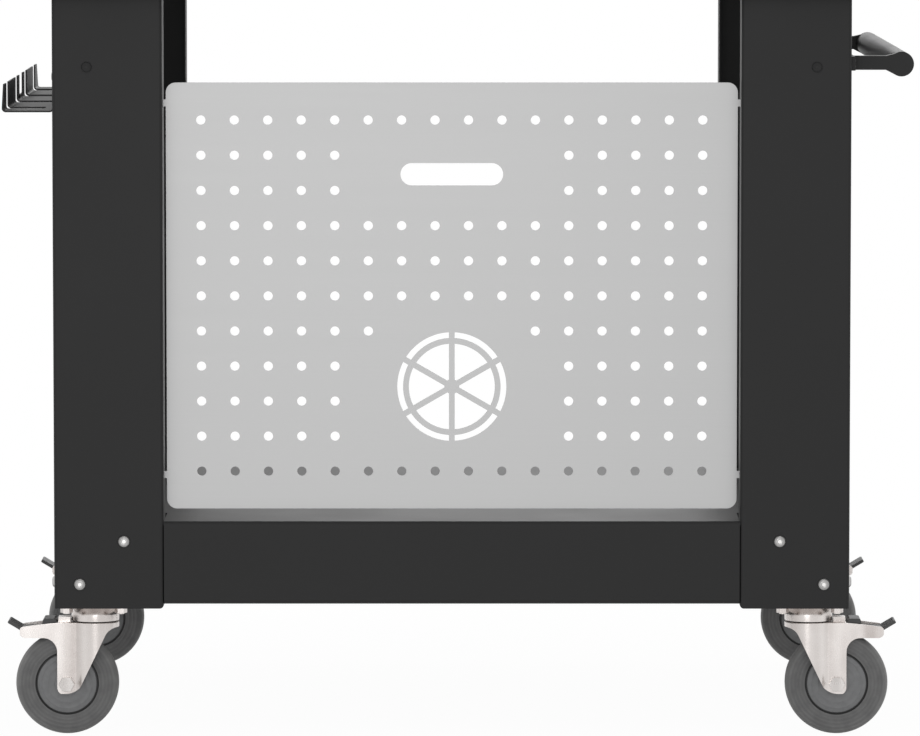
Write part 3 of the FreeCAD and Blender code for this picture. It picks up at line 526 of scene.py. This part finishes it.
def shape_fork(shape, node):
    """Let the wings of a fork fall towards their tips and round off its end, as they are cut."""
    side = side_of(node)
    wing_last_cut = wing_slope_start + wing_length * wing_cut_share
    slice_upright(shape, side, wing_slope_start, wing_last_cut, above_table, wing_cuts)
    bmesh.ops.bisect_plane(shape, geom=shape.verts[:] + shape.edges[:] + shape.faces[:],
                           plane_co=(0, 0, fork_cut), plane_no=(0, 0, 1))
    slice_upright(shape, side, fork_end_from, fork_end_to, fork_cut + fork_cut_play, fork_end_cuts)
    for vert in shape.verts:
        out = side * vert.co.x - swivel_x
        near_end = vert.co.z < fork_end_low + fork_end_band
        if out > wing_slope_start and vert.co.z > wing_foot:
            share = min((vert.co.z - wing_foot) / (wing_top - wing_foot), 1)
            vert.co.z -= wing_fall * share * ((out - wing_slope_start) / wing_length) ** wing_curve
        elif near_end and abs(out - fork_end_middle) < fork_end_radius:
            inside = max(fork_end_middle - out, 0)
            arc = fork_end_low + fork_end_radius - math.sqrt(fork_end_radius ** 2 - inside ** 2)
            vert.co.z = max(vert.co.z, arc)
    low = [vert for vert in shape.verts if vert.co.z < fork_end_low + fork_merge_band]
    bmesh.ops.remove_doubles(shape, verts=low, dist=fork_merge_distance)


zinc = new_finish("bright_zinc", lambda bench, place: zinc_plate(
    bench, place, zinc_colour, zinc_colour_bright))
# Darker zinc for the axles: painted shade.
axle_shaded_zinc = new_finish("shaded_zinc", lambda bench, place: zinc_plate(
    bench, place, axle_shade_colour, axle_shade_colour_bright))
for corner in corners:
    soft_edged("caster_plate_" + corner, pressed_edge, zinc, press=draw_in_shoulder)
    soft_edged("fork_" + corner, pressed_edge, zinc, "swivel_" + corner, press=shape_fork)
    soft_edged("axle_" + corner, axle_edge, axle_shaded_zinc, "swivel_" + corner)


# Wheels: a moulded plastic centre with a raised boss and shallow dish, in a grey rubber tyre that
# is moulded round it. A deep groove parts the two, its walls painted near-black as shade, and fine
# ribs ring the side of the tyre.
# Profiles are radius and half width. In the UV named radius, 1 stands for 0.1 m.
wheel_trail = 0.034
wheel_radius = 0.0625
wheel_places = {corner: Vector((side_of(corner) * (swivel_x + wheel_trail), end_of(corner) * swivel_y,
                                wheel_radius)) for corner in corners}
wheel_sharp_angle = math.radians(50)
uv_per_metre = 10
groove_middle = 0.3722
groove_half_width = 0.0128
groove_side_from = 0.08
tyre_rib_start = 0.38
tread_from = 0.555
tread_to = 0.605
hub_colour = (0.135, 0.137, 0.140, 1)
hub_colour_light = (0.205, 0.207, 0.210, 1)
tyre_colour = (0.082, 0.082, 0.083, 1)
# Paler rubber, used both for the dusty bloom and for the painted highlight on the ribs and the tread.
tyre_colour_dusty_and_lit = (0.250, 0.249, 0.246, 1)
tyre_rib_pitch = 0.045
# Near-black painted shade laid on the walls of the groove.
groove_shade_colour = (0.004, 0.004, 0.004, 1)
hub_side = [(0.0068, 0.0185), (0.0140, 0.0185), (0.0148, 0.0181), (0.0150, 0.0174), (0.0153, 0.0166),
            (0.0170, 0.0163), (0.0225, 0.0160), (0.0232, 0.0163), (0.0238, 0.0160), (0.0300, 0.0153),
            (0.0306, 0.0156), (0.0312, 0.0152), (0.0350, 0.0147), (0.0356, 0.0144), (0.0359, 0.0138),
            (0.0360, 0.0124), (0.0372, 0.0123)]
tyre_side = [(0.03725, 0.0123), (0.0384, 0.0124), (0.0385, 0.0138), (0.0388, 0.0144), (0.0394, 0.0147),
             (0.0430, 0.01488), (0.0436, 0.0152), (0.0442, 0.01495), (0.0478, 0.0151), (0.0484, 0.0154),
             (0.0490, 0.0152), (0.0524, 0.01535), (0.0530, 0.0157), (0.0536, 0.0155), (0.0556, 0.0156),
             (0.0575, 0.0150), (0.0590, 0.0139), (0.0601, 0.0125), (0.0609, 0.0108), (0.0616, 0.0092),
             (0.0621, 0.0077), (0.06240, 0.0060), (0.06250, 0.0040), (0.06250, 0.0)]


def turned_ring(name, side, centre, steps=112):
    """Ring turned about the wheel's axle from one side's profile, mirrored to the other side."""
    profile = side + [(radius, -width) for radius, width in reversed(side) if width > 0]
    shape = bmesh.new()
    depth = shape.loops.layers.uv.new("radius")
    rings = []
    for step in range(steps):
        angle = 2 * math.pi * step / steps
        rings.append([shape.verts.new(centre + Vector((radius * math.cos(angle), -width,
                                                       radius * math.sin(angle))))
                      for radius, width in profile])
    for step in range(steps):
        first, second = rings[step], rings[(step + 1) % steps]
        for index in range(len(profile)):
            after = (index + 1) % len(profile)
            face = shape.faces.new((first[index], second[index], second[after], first[after]))
            face.smooth = True
            for loop in face.loops:
                offset = loop.vert.co - centre
                loop[depth].uv = (abs(offset.y) * uv_per_metre,
                                  math.hypot(offset.x, offset.z) * uv_per_metre)
    bmesh.ops.recalc_face_normals(shape, faces=shape.faces)
    mesh = bpy.data.meshes.new(name)
    shape.to_mesh(mesh)
    shape.free()
    mesh.set_sharp_from_angle(angle=wheel_sharp_angle)
    piece = bpy.data.objects.new(name, mesh)
    bpy.context.collection.objects.link(piece)
    return piece


def groove_shade_mask(bench):
    """1 in the groove between centre and tyre, where painted shade darkens it, read from the radius kept in
    the piece's own UV.
    """
    ring = bench.node("ShaderNodeUVMap", {"uv_map": "radius"})
    apart = bench.node("ShaderNodeSeparateXYZ", None, {"Vector": ring}, "Y")
    side = bench.node("ShaderNodeSeparateXYZ", None, {"Vector": ring}, "X")
    near = bench.maths("LESS_THAN", bench.maths("ABSOLUTE", apart - groove_middle), groove_half_width)
    return near * bench.maths("GREATER_THAN", side, groove_side_from)


def hub_plastic(bench, place):
    """Moulded nylon: an even grey with a faint mottle and the sheen of a polished mould, and painted shade
    on its edge in the groove.
    """
    mottle = bench.noise(place, 160.0, 3.0)
    fine = bench.noise(place, 1400.0, 1.0)
    grey = bench.blend(mottle, hub_colour, hub_colour_light)
    bump = bench.node("ShaderNodeBump", None, {"Strength": 0.10, "Distance": 0.0001, "Height": fine})
    return {"Base Color": bench.blend(groove_shade_mask(bench), grey, groove_shade_colour),
            "Roughness": bench.between(mottle, 0.42, 0.52), "Normal": bump}


def tyre_rubber(bench, place):
    """Matt grey rubber: a dusty bloom, a painted highlight on the rib crests and the rounded tread, painted
    shade in the groove, and a fine moulded grain.
    """
    bloom = bench.noise(place, 70.0, 4.0)
    grain = bench.noise(place, 1100.0, 2.0)
    ring = bench.node("ShaderNodeUVMap", {"uv_map": "radius"})
    out = bench.node("ShaderNodeSeparateXYZ", None, {"Vector": ring}, "Y")
    # Painted highlight: paler rubber on the crests of the moulded ribs and, from the shoulder out, on the
    # tread.
    ribs = bench.maths("SINE", (out - tyre_rib_start) * (2 * math.pi / tyre_rib_pitch)) * 0.5 + 0.5
    tread = bench.node("ShaderNodeMapRange", None,
                       {"Value": out, "From Min": tread_from, "From Max": tread_to})
    grey = bench.blend(bloom * 0.5 + ribs * bloom * 0.25 + tread * 0.35, tyre_colour, tyre_colour_dusty_and_lit)
    bump = bench.node("ShaderNodeBump", None, {"Strength": 0.25, "Distance": 0.00015, "Height": grain})
    return {"Base Color": bench.blend(groove_shade_mask(bench), grey, groove_shade_colour),
            "Roughness": bench.between(bloom, 0.60, 0.78), "Normal": bump}


hub_finish = new_finish("moulded_grey_nylon", hub_plastic)
tyre_finish = new_finish("matt_grey_rubber", tyre_rubber)
for corner, centre in wheel_places.items():
    for node, side, finish, slot in (("hub_", hub_side, hub_finish, "hub_plastic"),
                                     ("tyre_", tyre_side, tyre_finish, "tyre_rubber")):
        ring = turned_ring(node + corner + "_turned", side, centre)
        ring.data.materials.append(finish)
        finish_piece(ring, "wheel_" + corner, node + corner)


# Brake pedals: a lever of thick steel in each fork's mouth, painted dark grey, with a raised block
# over its shoe and a tip that is trodden on. Heights and reaches are as for the caster metal.
pedal_edge = 0.0009
pedal_colour = (0.036, 0.036, 0.036, 1)
pedal_colour_worn = (0.060, 0.060, 0.060, 1)
pedal_block_high = 0.140
pedal_block_fall = 0.0025
pedal_block_end = 0.060
pedal_block_out = 0.069
pedal_block_shorter = 0.0015
pedal_arm_from = 0.063
pedal_arm_high = 0.1325
pedal_arm_fall = 0.0035
pedal_tip_from = 0.0878
pedal_tip_root = Vector((0.0908, 0.1320))
pedal_tip_along = Vector((0.855, 0.518))
pedal_tip_across = Vector((-0.518, 0.855))
pedal_tip_length = 0.01543
pedal_tip_thinner = 0.43
pedal_root_moved = Vector((-0.0011, -0.0024))
pedal_tip_moved = Vector((0.0011, -0.0012))


def pedal_paint(bench, place):
    """Dark paint, rubbed a little lighter in patches where shoes press it."""
    rubbed = bench.noise(place, 120.0, 4.0, 0.6)
    grain = bench.noise(place, 900.0, 2.0)
    bump = bench.node("ShaderNodeBump", None, {"Strength": 0.15, "Distance": 0.0002, "Height": grain})
    return {"Base Color": bench.blend(rubbed, pedal_colour, pedal_colour_worn),
            "Roughness": bench.between(rubbed, 0.42, 0.58), "Normal": bump}


def forge_pedal(shape, node):
    """Lower the block and the arm between the fork's cheeks, and lower and thin the tip."""
    side = side_of(node)
    for vert in shape.verts:
        out = side * vert.co.x - swivel_x
        if out > pedal_tip_from:
            place = Vector((out, vert.co.z))
            arm = place - pedal_tip_root
            place += pedal_root_moved.lerp(pedal_tip_moved, arm.dot(pedal_tip_along) / pedal_tip_length)
            place -= pedal_tip_across * (arm.dot(pedal_tip_across) * pedal_tip_thinner)
            vert.co.x = side * (place.x + swivel_x)
            vert.co.z = place.y
            continue
        if pedal_block_end < out < pedal_block_out and vert.co.z > pedal_arm_high:
            vert.co.x -= side * pedal_block_shorter
        if vert.co.z > pedal_block_high:
            vert.co.z -= pedal_block_fall
        elif out > pedal_arm_from and vert.co.z > pedal_arm_high:
            vert.co.z -= pedal_arm_fall


pedal_finish = new_finish("dark_pedal_paint", pedal_paint)
for corner in corners:
    soft_edged("brake_pedal_" + corner, pedal_edge, pedal_finish, "pedal_" + corner,
               press=forge_pedal)


# Screws: steel screws with a hexagon socket, silver and domed on the lower legs, black and dished at
# the top, and black and flat on the rack and the handle. Each stands on the seat of its CAD screw.
# The silver heads carry painted shade on the dome and down the socket, and a painted highlight on its floor.
screw_groups = {"leg_screws": {"head": 0.0072, "tall": 0.0040, "seated": 0.0040, "shank": 0.0040,
                               "socket": 0.0025, "middle": 1.0, "slot": "zinc"},
                "upper_leg_screws": {"head": 0.0063, "tall": 0.0020, "seated": 0.0030, "shank": 0.0030,
                                     "socket": 0.0020, "middle": 0.3, "slot": "dark_screw"},
                "rack_screws": {"head": 0.0056, "tall": 0.0012, "seated": 0.0030, "shank": 0.0030,
                                "socket": 0.0020, "middle": 1.0, "slot": "dark_screw"},
                "handle_screws": {"head": 0.0056, "tall": 0.0012, "seated": 0.0030, "shank": 0.0030,
                                  "socket": 0.0020, "middle": 1.0, "slot": "dark_screw"}}
socket_share = 0.55
screw_sides = 24
screw_ribs = 6
screw_rib_pitch = 0.0011
screw_rib_half = 0.0004
head_rim_share = 0.12
head_dome_share = 0.86
head_dome_turn = math.pi / 2 * 0.86
head_dome_steps = 5
head_painted_shade_steps = [0.5, 0.45, 0.55, 0.9, 1.0, 0.9]
head_dished_share = 0.95
head_foot_share = 0.97
shank_point_share = 0.8
shank_point_rise = 0.25
shank_ribs_from = 0.3
shank_rib_share = 0.9
socket_land = 1.3
socket_lip_drop = 0.0001
socket_lip_scale = 1.08
socket_lip_painted_shade = 0.9
socket_floor_scale = 0.82
screw_sharp_angle = math.radians(40)
# Lit colour is the silver, also used as the painted highlight; shaded colour is painted shade on the heads.
screw_lit_colour = (0.76, 0.75, 0.74, 1)
screw_shaded_colour = (0.27, 0.267, 0.263, 1)
black_colour = (0.012, 0.012, 0.012, 1)
black_colour_rubbed = (0.022, 0.022, 0.022, 1)


def silver_screw(bench, place):
    """Zinc plated screw with painted light: a painted highlight on its socket's floor, half painted shade at
    its rim and painted shade between them.
    """
    painted_shade = bench.node("ShaderNodeAttribute", {"attribute_name": "painted_shade"}, None, "Fac")
    cloud = bench.noise(place, 400.0, 2.0)
    return {"Base Color": bench.blend(painted_shade * bench.between(cloud, 0.75, 1.0), screw_lit_colour,
                                      screw_shaded_colour),
            "Metallic": 1.0,
            "Roughness": bench.between(cloud, 0.24, 0.38)}


def black_oxide(bench, place):
    """Blackened steel with a slight oily unevenness."""
    cloud = bench.noise(place, 300.0, 3.0)
    return {"Base Color": bench.blend(cloud, black_colour, black_colour_rubbed),
            "Roughness": bench.between(cloud, 0.40, 0.52),
            "Specular IOR Level": 0.30}


def screw_seats(node, head_height):
    """Seat, outward direction and shank length of each screw of a CAD group, from its solids."""
    shape = bmesh.new()
    shape.from_mesh(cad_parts[node].data)
    bmesh.ops.remove_doubles(shape, verts=shape.verts, dist=merge_distance)
    waiting = set(shape.verts)
    seats = []
    for start in shape.verts:
        if start not in waiting:
            continue
        waiting.discard(start)
        reached = [start]
        points = []
        while reached:
            vert = reached.pop()
            points.append(vert.co.copy())
            for edge in vert.link_edges:
                other = edge.other_vert(vert)
                if other in waiting:
                    waiting.discard(other)
                    reached.append(other)
        low = Vector([min(point[axis] for point in points) for axis in range(3)])
        high = Vector([max(point[axis] for point in points) for axis in range(3)])
        size = high - low
        axis = max(range(3), key=lambda number: size[number])
        middle = (low + high) / 2
        outward = Vector((0, 0, 0))
        outward[axis] = math.copysign(1.0, middle[axis])
        top = middle.copy()
        top[axis] = high[axis] if outward[axis] > 0 else low[axis]
        seats.append((top - outward * head_height, outward, size[axis] - head_height))
    shape.free()
    return seats


def screw_shape(name, sizes, shank_length, finish):
    """One screw along +Z with its seat at zero: domed or dished head, socket and ribbed shank."""
    head_radius, head_height = sizes["head"], sizes["tall"]
    shank_radius, socket_flat = sizes["shank"], sizes["socket"]
    middle_height = head_height * sizes["middle"]
    floor_height = middle_height * (1 - socket_share)
    rim_height = head_height * head_rim_share
    land_radius = socket_flat * socket_land
    angles = [2 * math.pi * k / screw_sides for k in range(screw_sides)]
    rings = []
    painted_shades = []

    # Each ring carries how much painted shade its colour takes: 0 lit, 1 fully shaded.
    def ring(radius, height, painted_shade=0.0):
        rings.append([(radius * math.cos(angle), radius * math.sin(angle), height) for angle in angles])
        painted_shades.append(painted_shade)

    def socket_ring(scale, height, painted_shade):
        points = []
        for angle in angles:
            within = (angle + math.pi / 6) % (math.pi / 3) - math.pi / 6
            radius = socket_flat * scale / math.cos(within)
            points.append((radius * math.cos(angle), radius * math.sin(angle), height))
        rings.append(points)
        painted_shades.append(painted_shade)

    ring(shank_radius * shank_point_share, -shank_length)
    ring(shank_radius, -shank_length + shank_radius * shank_point_rise)
    for rib in range(screw_ribs):
        base = -shank_length + shank_radius * shank_ribs_from + rib * screw_rib_pitch
        ring(shank_radius, base)
        ring(shank_radius * shank_rib_share, base + screw_rib_half)
        ring(shank_radius, base + screw_rib_half * 2)
    ring(shank_radius, 0)
    ring(head_radius * head_foot_share, 0)
    ring(head_radius, rim_height, head_painted_shade_steps[0])
    for step in range(1, head_dome_steps + 1):
        slope = step / head_dome_steps * head_dome_turn
        lifted = math.sin(slope) / math.sin(head_dome_turn)
        ring(land_radius + (head_radius - land_radius) * math.cos(slope),
             rim_height + lifted * (head_height * head_dome_share), head_painted_shade_steps[step])
        if middle_height < head_height and step > 1:
            sunk = (step - 1) / (head_dome_steps - 1) * (head_height - middle_height)
            rings[-1] = [(x, y, head_height * head_dished_share - sunk) for x, y, z in rings[-1]]
    socket_ring(socket_lip_scale, middle_height, socket_lip_painted_shade)
    socket_ring(1.0, middle_height - socket_lip_drop, 1.0)
    socket_ring(1.0, floor_height, 1.0)
    socket_ring(socket_floor_scale, floor_height, 0.0)
    shape = bmesh.new()
    painted_shade_layer = shape.verts.layers.float.new("painted_shade")
    made = []
    for points, painted_shade in zip(rings, painted_shades):
        made.append([shape.verts.new(point) for point in points])
        for vert in made[-1]:
            vert[painted_shade_layer] = painted_shade
    for first, second in zip(made, made[1:]):
        for k in range(screw_sides):
            after = (k + 1) % screw_sides
            shape.faces.new((first[k], first[after], second[after], second[k]))
    shape.faces.new(made[0][::-1])
    shape.faces.new(made[-1])
    for face in shape.faces:
        face.smooth = True
    bmesh.ops.recalc_face_normals(shape, faces=shape.faces)
    mesh = bpy.data.meshes.new(name)
    shape.to_mesh(mesh)
    shape.free()
    mesh.set_sharp_from_angle(angle=screw_sharp_angle)
    mesh.materials.append(finish)
    return bpy.data.objects.new(name, mesh)


def seat_mesh(name, seats):
    """Loose points at the seats, each with its outward direction as an attribute."""
    mesh = bpy.data.meshes.new(name)
    mesh.from_pydata([seat for seat, outward, length in seats], [], [])
    outward_layer = mesh.attributes.new("outward", "FLOAT_VECTOR", "POINT")
    for item, (seat, outward, length) in zip(outward_layer.data, seats):
        item.vector = outward
    return mesh


def fastener_tree(finish):
    """Tree that stands one fastener on each seat, turned to its outward direction."""
    bench, given = new_grower("fasteners_on_seats", {"Fastener": "Object"})
    outward = bench.node("GeometryNodeInputNamedAttribute", {"data_type": "FLOAT_VECTOR"},
                         {"Name": "outward"})
    turned = bench.node("FunctionNodeAlignRotationToVector", {"axis": "Z"}, {"Vector": outward})
    one = bench.node("GeometryNodeObjectInfo", None, {"Object": given["Fastener"]}, "Geometry")
    placed = bench.node("GeometryNodeInstanceOnPoints", None,
                        {"Points": given["Geometry"], "Instance": one, "Rotation": turned})
    return end_grower(bench, placed, finish)


dark_screw = new_finish("black_oxide", black_oxide)
bright_screw = new_finish("silver_screw", silver_screw)
screw_finishes = {"leg_screws": bright_screw, "upper_leg_screws": coat}
for node, sizes in screw_groups.items():
    finish = screw_finishes.get(node, dark_screw)
    seats = screw_seats(node, sizes["seated"])
    one = screw_shape(node + "_one", sizes, seats[0][2], finish)
    group = grow(node + "_set", seat_mesh(node + "_seats", seats), fastener_tree(finish),
                 {"Fastener": one}, finish)
    finish_piece(group, "root", node)
    bpy.data.objects.remove(one)


# Hidden fasteners: zinc plated bolts and nuts of the rails, shelf and casters, with the kingpins
# and the loose balls in the swivel heads, as the CAD makes them.
for node in ("frame_bolts", "caster_bolts", "m6_nuts", "m8_nuts", "kingpins", "head_balls"):
    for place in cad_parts[node].material_slots:
        place.material = zinc


# Studio: a pale floor and an even white surround, with three broad soft lamps. The camera stands
# about 8.2 m in front of the table and a little above it, and looks slightly down.
surround_fill = 0.74
floor_left_right = 30
floor_front = -12
floor_back = 60
shadow_clear_from = 0.5
shadow_clear_to = 1.6
shadow_whiteness = 0.97
floor_colour = (0.86, 0.86, 0.86, 1)
camera_place = (0.0099, -8.534, 1.135)
camera_look_down = 4.80
camera_lens = 265.4
camera_sensor_width = 36
camera_sees_to = 200


def lit_from(name, place, target, size, power):
    """Square soft lamp that faces a point."""
    lamp = bpy.data.lights.new(name, "AREA")
    lamp.shape = "SQUARE"
    lamp.size = size
    lamp.energy = power
    holder = bpy.data.objects.new(name, lamp)
    holder.location = place
    holder.rotation_euler = (Vector(target) - Vector(place)).to_track_quat("-Z", "Y").to_euler()
    bpy.context.collection.objects.link(holder)


def seen_rays(bench):
    """1 for camera, glossy and transmission rays, and 0 for the rays that light the table."""
    rays = bench.tree.nodes.new("ShaderNodeLightPath")
    return bench.maths("MAXIMUM", Wire(bench, rays.outputs["Is Camera Ray"]),
                       bench.maths("MAXIMUM", Wire(bench, rays.outputs["Is Glossy Ray"]),
                                   Wire(bench, rays.outputs["Is Transmission Ray"])))


def floor_finish():
    """Pale floor: white to the camera, with the table's shadow laid softly over it."""
    material = bpy.data.materials.new("pale_floor")
    material.use_nodes = True
    bench = Bench(material.node_tree)
    seen = seen_rays(bench)
    place = bench.node("ShaderNodeTexCoord", output="Object")
    far = bench.node("ShaderNodeVectorMath", {"operation": "LENGTH"}, {0: place}, "Value")
    away = bench.node("ShaderNodeMapRange", {"interpolation_type": "SMOOTHSTEP"},
                      {"Value": far, "From Min": shadow_clear_from, "From Max": shadow_clear_to,
                       "To Min": shadow_whiteness, "To Max": 1.0})
    lit = bench.node("ShaderNodeBsdfDiffuse", None, {"Color": floor_colour})
    white = bench.node("ShaderNodeEmission", None, {"Color": (1, 1, 1, 1), "Strength": 1.0})
    mixed = bench.node("ShaderNodeMixShader", None, {"Fac": seen * away, 1: lit, 2: white})
    bench.node("ShaderNodeOutputMaterial", None, {"Surface": mixed})
    return material


floor_mesh = bpy.data.meshes.new("floor")
floor_mesh.from_pydata([(-floor_left_right, floor_front, 0), (floor_left_right, floor_front, 0),
                        (floor_left_right, floor_back, 0), (-floor_left_right, floor_back, 0)],
                       [], [(0, 1, 2, 3)])
floor_mesh.materials.append(floor_finish())
floor = bpy.data.objects.new("floor", floor_mesh)
bpy.context.collection.objects.link(floor)

world = bpy.data.worlds.new("studio")
world.use_nodes = True
bpy.context.scene.world = world
bench = Bench(world.node_tree)
strength = bench.between(seen_rays(bench), surround_fill, 1.0)
surround = bench.node("ShaderNodeBackground", None, {"Color": (1, 1, 1, 1), "Strength": strength})
bench.node("ShaderNodeOutputWorld", None, {"Surface": surround})

lit_from("front_lamp", (-0.3, -5.2, 0.75), (0, -0.3, 0.3), size=1.4, power=20)
lit_from("top_lamp", (0.3, 0.2, 4.0), (0, 0, 0.5), size=3.0, power=26)
lit_from("rear_lamp", (1.0, 4.5, 2.4), (0, 0, 0.6), size=2.6, power=25)

view = bpy.data.cameras.new("view")
view.lens = camera_lens
view.sensor_width = camera_sensor_width
view.clip_end = camera_sees_to
camera = bpy.data.objects.new("view", view)
camera.location = camera_place
camera.rotation_euler = (math.radians(90 - camera_look_down), 0, 0)
bpy.context.collection.objects.link(camera)
bpy.context.scene.camera = camera
bpy.context.scene.view_settings.view_transform = "Standard"
